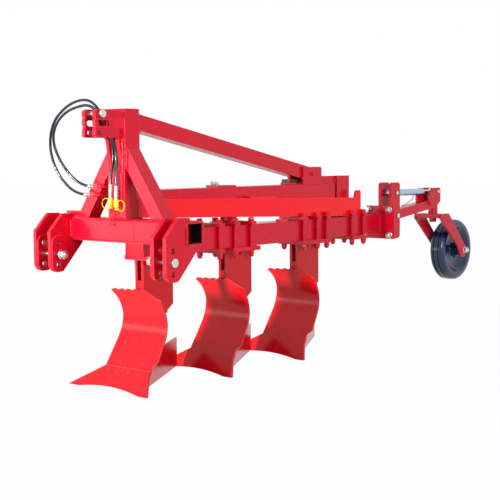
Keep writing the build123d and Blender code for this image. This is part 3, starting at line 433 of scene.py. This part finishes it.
# %% Draw the hoses
hose_routes = {
    "hose_1": [
        (-168, -30, 1000), (-254, -30, 1000), (-338, -58, 1070), (-390, -76, 1172),
        (-393, -88, 1280), (-343, -96, 1376), (-245, -104, 1436), (-155, -107, 1465),
        (-73, -105, 1468), (-24, -95, 1436), (-2, -76, 1383), (-6, -38, 1320),
        (-7, -5, 1245), (-9, -4, 1165), (-15, -20, 1090), (-15, -20, 1026),
    ],
    "hose_2": [
        (-140, -30, 1043), (-210, -30, 1043), (-286, -62, 1108), (-337, -88, 1202),
        (-345, -108, 1286), (-300, -118, 1360), (-220, -125, 1410), (-125, -130, 1434),
        (-42, -123, 1442), (10, -104, 1396), (15, -64, 1330), (14, -14, 1257),
        (17, -6, 1175), (25, -20, 1090), (25, -20, 1017),
    ],
}
hose_radius = 0.007


def draw_hose(name, route):
    """A round rubber hose along a route in millimetres."""
    data = bpy.data.curves.new(name + "_line", "CURVE")
    data.dimensions = "3D"
    data.bevel_depth = hose_radius
    data.bevel_resolution = 6
    data.resolution_u = 12
    data.use_fill_caps = True
    line = data.splines.new("NURBS")
    line.points.add(len(route) - 1)
    for point, spot in zip(line.points, route):
        point.co = (*at(*spot), 1)
    line.order_u = 3
    line.use_endpoint_u = True
    made = bpy.data.objects.new(name + "_rubber", data)
    bpy.context.collection.objects.link(made)
    data.materials.append(hose_rubber)
    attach(made, "frame")
    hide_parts(name)
    return made


hoses = {name: draw_hose(name, route) for name, route in hose_routes.items()}

# %% [markdown]
# ## Hose ends, couplers and dust caps
# A hose ends in a crimped ferrule. At the mast a swivel nut joins it to the steel pipe, and at
# the free end a quick coupler carries a yellow cap on a plastic loop. All of them are turned
# shapes: a list of distances and radii is enough.

# %% Ferrules and swivel nuts
# Profiles are lists of (distance along the axis, radius).
crimp = [
    (0, 7.6), (1, 9.6), (7, 9.8), (8, 8.9), (11, 8.9), (12, 9.8),
    (17, 9.8), (18, 8.9), (21, 8.9), (22, 9.8), (27, 9.6), (28, 7.2),
]
swivel_nut = [(0, 8), (0.5, 11.4), (2, 12.4), (16, 12.4), (18, 11.4), (18.5, 8)]
pipe_nut = [(0, 9), (10, 9), (11, 11), (12, 11.6), (24, 11.6), (25, 8)]
NUT_SIDES = 6
for name, route in hose_routes.items():
    ends = Shape()
    x, y, z = route[0]
    ends.turn(at(x, y, z), (-1, 0, 0), crimp, 28)
    ends.turn(at(x, y, z), (1, 0, 0), swivel_nut, NUT_SIDES)
    ends.turn(at(x + 18, y, z), (1, 0, 0), pipe_nut, NUT_SIDES)
    x, y, z = route[-1]
    ends.turn(at(x, y, z - 1), (0, 0, 1), crimp, 28)
    ends.make(name + "_ends", "frame", zinc)

# %% Couplers and their caps
coupler_profile = [
    (0, 8), (1, 10.4), (3, 11.4), (11, 11.4), (13, 10.2), (14, 9.2), (17, 9.2), (18, 11.6),
    (28, 11.6), (30, 10.4), (31, 9.4), (34, 9.4), (35, 10.8), (40, 10.8), (41, 9.8), (42, 8),
]
coupler_length = coupler_profile[-1][0]
cap_profile = [
    (0, 10), (0.5, 14), (2, 15), (6, 15), (7, 13.6), (26, 13), (28, 13.8), (31, 13.8),
    (33, 12), (36, 8.5), (38, 6.2), (43, 6.2), (45, 9.4), (48, 9.8), (49, 8),
]
LOOP_STEPS = 32
LOOP_START, LOOP_SWEEP = 28, 304
LOOP_TALL = 26.0
# Each loop leans away from the other hose: its side, and its half width.
cap_loops = {"1": (-1, 30.0), "2": (1, 27.0)}
for number, (way, wide) in cap_loops.items():
    hose = "hose_" + number
    x, y, z = hose_routes[hose][-1]
    coupler = Shape()
    coupler.turn(at(x, y, z), (0, 0, -1), coupler_profile, 36)
    body = coupler.make("coupler_" + number + "_body", "frame", zinc)
    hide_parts("coupler_" + number)
    cap = Shape()
    cap.turn(at(x, y, z - coupler_length), (0, 0, -1), cap_profile, 36)
    middle_x, middle_z = x + way * (wide + 4), z - coupler_length - LOOP_TALL
    loop = []
    for step in range(LOOP_STEPS + 1):
        angle = math.radians(LOOP_START + step * LOOP_SWEEP / LOOP_STEPS)
        loop.append(at(middle_x - way * wide * math.cos(angle), y, middle_z + LOOP_TALL * math.sin(angle)))
    cap.tube(loop, 2.0)
    yellow = cap.make("dust_cap_" + number + "_moulding", "frame", cap_plastic)
    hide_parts("dust_cap_" + number)
    at(*hose_routes[hose][0])

# %% [markdown]
# ## Nuts and bolts
# What shows of a bolt is a washer, a six-sided nut with its corners turned off and a threaded
# end. A true helix would cost many faces and look no different at this size, so the thread is
# a stack of rings. The same function makes them all, and the tables say where they sit.


# %% One function for every nut
def fasten(shape, centre, axis, across, stud=0.0, lead=0.0):
    """A washer and a nut with flats `across` mm apart, and a thread `stud` mm past the nut."""
    thick = across * 0.1
    rim = across * 0.62
    shape.turn(centre, axis, [(0, rim - 0.6), (0.4, rim), (thick - 0.4, rim), (thick, rim - 0.6)], 28)
    corner = across / math.sqrt(3)
    height = across * 0.62
    top = thick + height
    nut = [(thick, corner * 0.93), (thick + height * 0.12, corner), (thick + height * 0.88, corner)]
    shape.turn(centre, axis, nut + [(top, corner * 0.9)], NUT_SIDES, lead)
    if stud:
        radius = across * 0.32
        thread = [(top - 1, radius)]
        for step in range(int(stud / 2)):
            thread += [(top + 2 * step + 0.9, radius * 0.92), (top + 2 * step + 1.8, radius)]
        thread += [(top + stud, radius * 0.8)]
        shape.turn(centre, axis, thread, 20)


# %% Nuts on the clamp rods
clamp_rods = [210, 336, 681, 808, 944, 1424, 1557, 1652, 1920, 2045]
strap_top, plate_low = 828, 665
ROD_X, CLAMP_NUT = 74, 30
rod_dome = [(0, 14.5), (5, 14.5), (10, 13), (14, 9.5), (16.5, 4)]
clamp_nuts = Shape()
for index, y in enumerate(clamp_rods):
    for x in (-ROD_X, ROD_X):
        fasten(clamp_nuts, at(x, y, strap_top), (0, 0, 1), CLAMP_NUT, lead=index * 0.4)
        fasten(clamp_nuts, at(x, y, plate_low), (0, 0, -1), CLAMP_NUT, lead=index * 0.3 + 0.2)
        clamp_nuts.turn(at(x, y, plate_low - 20), (0, 0, -1), rod_dome, 24)
clamp_nuts.make("clamp_nuts", "frame", frame_paint)

# %% Bright bolts on the rear flange and the upper beam
FLANGE_FRONT, FLANGE_REAR, FLANGE_NUT = 2257, 2275, 32
UPPER_BOLT_Y, UPPER_TOP, UPPER_NUT = 812, 1029, 22
bright = Shape()
for x, z in ((-25, 836), (134, 838), (134, 676)):
    fasten(bright, at(x, FLANGE_FRONT, z), (0, -1, 0), FLANGE_NUT, 10)
    fasten(bright, at(x, FLANGE_REAR, z), (0, 1, 0), FLANGE_NUT)
for x in (-96, -64):
    fasten(bright, at(x, UPPER_BOLT_Y, UPPER_TOP), (0, 0, 1), UPPER_NUT, 6)
bright.make("flange_bolts", "frame", zinc)

# %% [markdown]
# ## Pin ends
# Each lower hitch pin is a bolt: its nut sits on the inner side, with the pin's drilled end past
# it. The upper pin has a collar at each end. The drilled hole is part of the turned profile,
# whose radius steps back inwards, which is simpler than cutting it out.

# %% Nuts and collars on the hitch pins
LOWER_PIN_Y, LOWER_PIN_Z = -90, 696.1
drilled_end = [(0, 13.8), (8, 13.8), (9, 12.6), (9, 3), (6, 2.6)]
collar = [(0, 12), (1, 19), (9, 19), (10, 17)]
pins = Shape()
for x, way in ((349, -1), (-316, 1)):
    fasten(pins, at(x, LOWER_PIN_Y, LOWER_PIN_Z), (way, 0, 0), 40, lead=0.3)
    pins.turn(at(x + way * 26, LOWER_PIN_Y, LOWER_PIN_Z), (way, 0, 0), drilled_end, 28)
for way in (-1, 1):
    pins.turn(at(way * 60, -134, 1395), (way, 0, 0), collar, 28)
pins.make("pin_nuts", "frame", zinc)

# %% [markdown]
# ## Plough bolts
# Boards, shares and landsides are held by flat-headed bolts that lie flush in the soil's path,
# and only their heads are made. A shallow ring and groove on each catches the light, which a
# dark circle in the paint would not.

# %% Bolts through the boards and shares
BODY_COUNT, BODY_PITCH = 3, 635
FACE_EDGE_Y, FACE_SLOPE = 20, 0.5
face_out = Vector((0, -1, FACE_SLOPE)).normalized()
flat_head = [(-2, 10), (0.1, 10), (0.5, 9.2), (0.5, 8.6), (0.15, 8.2), (0.15, 0.8)]
# Places on the face, as x and the height above the ground.
face_bolts = [(-98, 237), (103, 237), (-93, 144), (70, 146), (-160, 103), (-86, 103), (-11, 102), (60, 102)]
plough_bolts = Shape()
for number in range(BODY_COUNT):
    for x, z in face_bolts:
        spot = at(x, number * BODY_PITCH + FACE_EDGE_Y + FACE_SLOPE * z, z)
        plough_bolts.turn(spot, face_out, flat_head, 24)
plough_bolts.make("plough_bolts", "frame", body_paint)

# %% Bolts through the landsides
landside_yaw = math.radians(29.8)
landside_along = Vector((-math.sin(landside_yaw), math.cos(landside_yaw), 0))
landside_out = Vector((math.cos(landside_yaw), math.sin(landside_yaw), 0))
landside_bolts = Shape()
for number in range(BODY_COUNT):
    for distance, z in ((120, 92), (215, 98), (330, 104)):
        spot = at(137, number * BODY_PITCH + 35, z) + landside_along * distance / 1000
        landside_bolts.turn(spot, landside_out, flat_head, 24)
landside_bolts.make("landside_bolts", "frame", body_paint)

# %% [markdown]
# ## Weld beads
# A fabricated frame is joined by fillet welds. Up close a bead is a row of overlapping
# ripples. Sculpting them would take long, and a thin tube that swells at every second ring
# looks the same when it is laid into a corner.


# %% Lay the beads
BEAD, THIN_BEAD = 4.0, 3.0
RIPPLE_STEP, RIPPLE = 5, 0.16


def bead(shape, start, end, radius=BEAD):
    """A rippled bead along a straight line between two corners in millimetres."""
    start, end = Vector(start), Vector(end)
    steps = max(2, int((end - start).length / RIPPLE_STEP))
    spots = [start.lerp(end, i / steps) for i in range(steps + 1)]
    shape.tube([at(*spot) for spot in spots], radius, 8, RIPPLE)


BEAD_LIFT = 2
HEAD_BEAD_Z = 885
welds = Shape()
# The four hitch plates on the head tube, as the x of their two sides.
for left, right in ((459, 479), (378, 398), (-364.5, -344.5), (-479, -459)):
    for x in (left - BEAD_LIFT, right + BEAD_LIFT):
        bead(welds, (x, -1, 770), (x, -1, 860))
        bead(welds, (x, 16, 884), (x, 26, 884), THIN_BEAD)
for way in (-1, 1):
    # The foot of the mast, and the legs' feet beside it.
    bead(welds, (way * 62, 8, HEAD_BEAD_Z), (way * 62, 82, HEAD_BEAD_Z))
    bead(welds, (way * 230, 18, HEAD_BEAD_Z), (way * 310, 18, HEAD_BEAD_Z))
    bead(welds, (way * 314, 22, HEAD_BEAD_Z), (way * 314, 98, HEAD_BEAD_Z))
    # The legs' tops and the cheeks on the mast.
    bead(welds, (way * 62, 18, 1128), (way * 62, 18, 1222))
    bead(welds, (way * 70, 10, 1229), (way * 70, 80, 1229), THIN_BEAD)
    bead(welds, (way * 50, 3, 1110), (way * 50, 3, 1278))
    bead(welds, (way * 40, 86, 1334), (way * 40, 86, 1400), THIN_BEAD)
    # The main beam's sides, at the head tube and at the rear flange.
    bead(welds, (way * 62, 121, 690), (way * 62, 121, 806))
    bead(welds, (way * 62, 2255, 690), (way * 62, 2255, 806))
for y, z in ((3, HEAD_BEAD_Z), (121, 810), (2255, 810)):
    bead(welds, (-58, y, z), (58, y, z))
bead(welds, (62, 95, 886), (62, 118, 885), THIN_BEAD)
welds.make("weld_beads", "frame", frame_paint, smooth=80)

# %% [markdown]
# ## Small plates, a cap loop and a pipe
# The last small pieces tell the eye what the machine does: a wear plate and a rest block by the
# side rail, the loop that parks the caps, the cylinder's oil pipe, painted shade in the fork's holes
# and painted shade inside the tube. Flat ones are outlines drawn out to a thickness, and bent ones
# are tubes. Holes that show no depth are thin dark discs of painted shade, so no solid has to be cut.

# %% Wear plate and block by the side rail
trim = Shape()
wear_plate = [(964, 954), (1195, 947.6), (1195, 957.5), (964, 964)]
rest_block = [(1211, 808), (1285, 808), (1285, 824), (1211, 824)]
trim.slab(wear_plate, "x", 6, 54)
trim.slab(rest_block, "x", 34, 63)
trim.make("rail_plates", "frame", rail_paint_and_painted_sheen, bevel=1.0)


# %% The loop under the caps
LOOP_X, LOOP_RADIUS, LOOP_BEND_Z = -17, 12, 864
ROD_SIDES, BEND_STEPS = 12, 10
# One side of the loop from the mast outwards, as y and z.
leg = [(4, 922), (-8, 919), (-14, 910)]
loop_way = [(LOOP_X - LOOP_RADIUS, y, z) for y, z in leg]
for step in range(BEND_STEPS + 1):
    angle = math.pi * (1 + step / BEND_STEPS)
    x, z = LOOP_X + LOOP_RADIUS * math.cos(angle), LOOP_BEND_Z + LOOP_RADIUS * math.sin(angle)
    loop_way.append((x, leg[-1][0], z))
loop_way += [(LOOP_X + LOOP_RADIUS, y, z) for y, z in reversed(leg)]
parking = Shape()
parking.tube([at(*spot) for spot in loop_way], 3.4, ROD_SIDES)
parking.make("cap_loop", "frame", frame_paint)

# %% Oil pipe under the cylinder
ARM_X = 85
PORT_Y, PORT_Z = 2622, 923
oil_way = [(2622, 922), (2622, 914), (2618, 903), (2606, 892), (2570, 878), (2520, 862), (2484, 857)]
port_nut = [(0, 8.5), (6, 8.5), (7, 7), (11, 7)]
pipe = Shape()
pipe.tube([at(ARM_X, y, z) for y, z in oil_way], 5.5, ROD_SIDES)
pipe.turn(at(ARM_X, PORT_Y, PORT_Z), (0, 0, -1), port_nut, NUT_SIDES)
pipe.make("cylinder_pipe", "barrel", zinc)

# %% Painted shade: dark discs in the fork's leg holes
LEG_FACE_X = 191.8
dark = Shape()
# Each disc is painted shade where a hole would be.
for y, z in ((2906, 733), (2975, 671), (3032, 597)):
    dark.turn(at(LEG_FACE_X, y, z), (1, 0, 0), [(0, 7.5), (0.6, 7.5)], 24)
dark.make("leg_hole_painted_shade", "fork", black_steel)

# %% Painted shade: dark sheets inside the head tube's open ends
SHADE_SHEET_THICK = 0.8
front, rear, low, top = 12.2, 107.8, 775.2, 870.8
# The tube's four inner faces, each as y from, y to, z from and z to.
shade_sheets = [
    (front, rear, low, low + SHADE_SHEET_THICK),
    (front, rear, top - SHADE_SHEET_THICK, top),
    (front, front + SHADE_SHEET_THICK, low + SHADE_SHEET_THICK, top - SHADE_SHEET_THICK),
    (rear - SHADE_SHEET_THICK, rear, low + SHADE_SHEET_THICK, top - SHADE_SHEET_THICK),
]
# Black sheets inside the tube: painted shade, not a coating.
tube_inside_shade = Shape()
for y_from, y_to, z_from, z_to in shade_sheets:
    outline = [(y_from, z_from), (y_to, z_from), (y_to, z_to), (y_from, z_to)]
    tube_inside_shade.slab(outline, "x", 404, 474)
    tube_inside_shade.slab(outline, "x", -474, -404)
tube_inside_shade.make("tube_inside_painted_shade", "frame", black_steel)

# %% [markdown]
# ## Wheel
# The gauge wheel is dished, with three ribs round its tread and a hub that carries the axle.
# One long profile is turned about the axle. Its two sides are alike, so only half is written.

# %% Turn the wheel
# Half of the profile, from the hub's bore out over the disc to the groove beside the middle
# rib, as the distance from the wheel's middle plane and the radius.
half_wheel = [
    (88, 13), (88, 31), (84, 34), (60, 36), (26, 44), (14, 50), (8, 62), (8, 90),
    (12, 120), (26, 140), (40, 150), (50, 158), (53, 172), (51, 192), (46, 203), (36, 211),
    (25, 213.2), (21.5, 213), (20.5, 207.4), (14, 207.4), (13, 213.2),
]
middle_rib = [(0, 213.5)]
WHEEL_Y, WHEEL_Z = 3128, 521
wheel_shape = Shape()
whole_wheel = [(-d, r) for d, r in half_wheel] + middle_rib + half_wheel[::-1]
wheel_shape.turn(at(ARM_X, WHEEL_Y, WHEEL_Z), (1, 0, 0), whole_wheel, 96)
wheel = wheel_shape.make("gauge_wheel", "wheel", wheel_rubber, smooth=28)
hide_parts("wheel")

# %% Axle nuts and spindle cap
FORK_HALF = 107
axle = Shape()
for way in (-1, 1):
    fasten(axle, at(ARM_X + way * FORK_HALF, WHEEL_Y, WHEEL_Z), (way, 0, 0), 34, 8)
axle.make("axle_nuts", "fork", zinc)
spindle = Shape()
fasten(spindle, at(ARM_X, 2878, 890), (0, 0, 1), 40, 6)
spindle.make("spindle_nut", "fork", frame_paint)

# %% [markdown]
# ## Floor and sky
# The machine stands on a wide floor that looks white, under a white sky. If the floor and the
# sky lit it that brightly, the paint would wash out. So both are white only to the camera and
# in what metal or glass mirrors; as a light the sky is a pale, dim blue, and the floor is grey.

# %% Floor
FLOOR_HALF, FLOOR_DEPTH, FLOOR_GAP = 40000, 20, 0.5
ground = Shape()
corners = [(-1, -1), (1, -1), (1, 1), (-1, 1)]
ground.slab([(x * FLOOR_HALF, y * FLOOR_HALF) for x, y in corners], "z", -FLOOR_DEPTH, -FLOOR_GAP)
paper = Finish("white_floor", Roughness=0.9)
grain = paper.cloud(4.0, 2.0)
paper.set(Base_Color=paper.tint(grain, (0.38, 0.38, 0.40, 1), (0.44, 0.44, 0.45, 1)))
glow = paper.node("ShaderNodeEmission", None, {"Color": (1, 1, 1, 1), "Strength": 1.0})
# A little of the lit floor stays in the mix and keeps a faint shadow.
seen_white = paper.background_rays() * 0.985
lit = Socket(paper, paper.shader.outputs[0])
mixed = paper.node("ShaderNodeMixShader", None, {0: seen_white, 1: lit, 2: glow})
paper.feed(paper.tree.nodes["Material Output"].inputs["Surface"], mixed)
floor = ground.place_object("floor", paper.material)

# %% Sky
world = bpy.data.worlds.new("studio")
bpy.context.scene.world = world
sky = Graph(world)
white = sky.node("ShaderNodeBackground", None, {"Color": (1, 1, 1, 1), "Strength": 1.0})
dim = sky.node("ShaderNodeBackground", None, {"Color": (0.78, 0.84, 1.0, 1), "Strength": 0.5})
either = sky.node("ShaderNodeMixShader", None, {0: sky.background_rays(), 1: dim, 2: white})
sky.feed(sky.tree.nodes["World Output"].inputs["Surface"], either)
print("sky of", len(sky.tree.nodes), "nodes")

# %% [markdown]
# ## Lamps
# A small, strong key lamp stands in front, no higher than a person, so fronts are bright and
# sides fall off. A long low wall of light at the front left gives the boards their broad sheen,
# and a softer lamp on the right fills the near sides. A sun lamp would light all sides of the
# long machine alike.


# %% Area lamps, each aimed at a point
def lamp(name, spot, target, width, height, power, tone):
    """A rectangular lamp; places and sizes are in metres and power in watts."""
    data = bpy.data.lights.new(name, "AREA")
    data.shape = "RECTANGLE"
    data.size = width
    data.size_y = height
    data.energy = power
    data.color = tone
    made = bpy.data.objects.new(name, data)
    made.location = spot
    made.rotation_euler = (Vector(target) - Vector(spot)).to_track_quat("-Z", "Y").to_euler()
    bpy.context.collection.objects.link(made)
    print("lamp", name, power, "W")


lamp("key", (-0.3, -9.6, 1.7), (0, -0.8, 0.6), 0.8, 0.8, 1250, (1.0, 0.95, 0.90))
lamp("front_wall", (-5.0, -8.6, 0.95), (0, -1.4, 0.8), 8.0, 1.8, 120, (1.0, 0.93, 0.88))
lamp("fill", (7.5, -2.5, 2.2), (0, 0, 0.7), 2.0, 2.0, 330, (1.0, 0.88, 0.96))
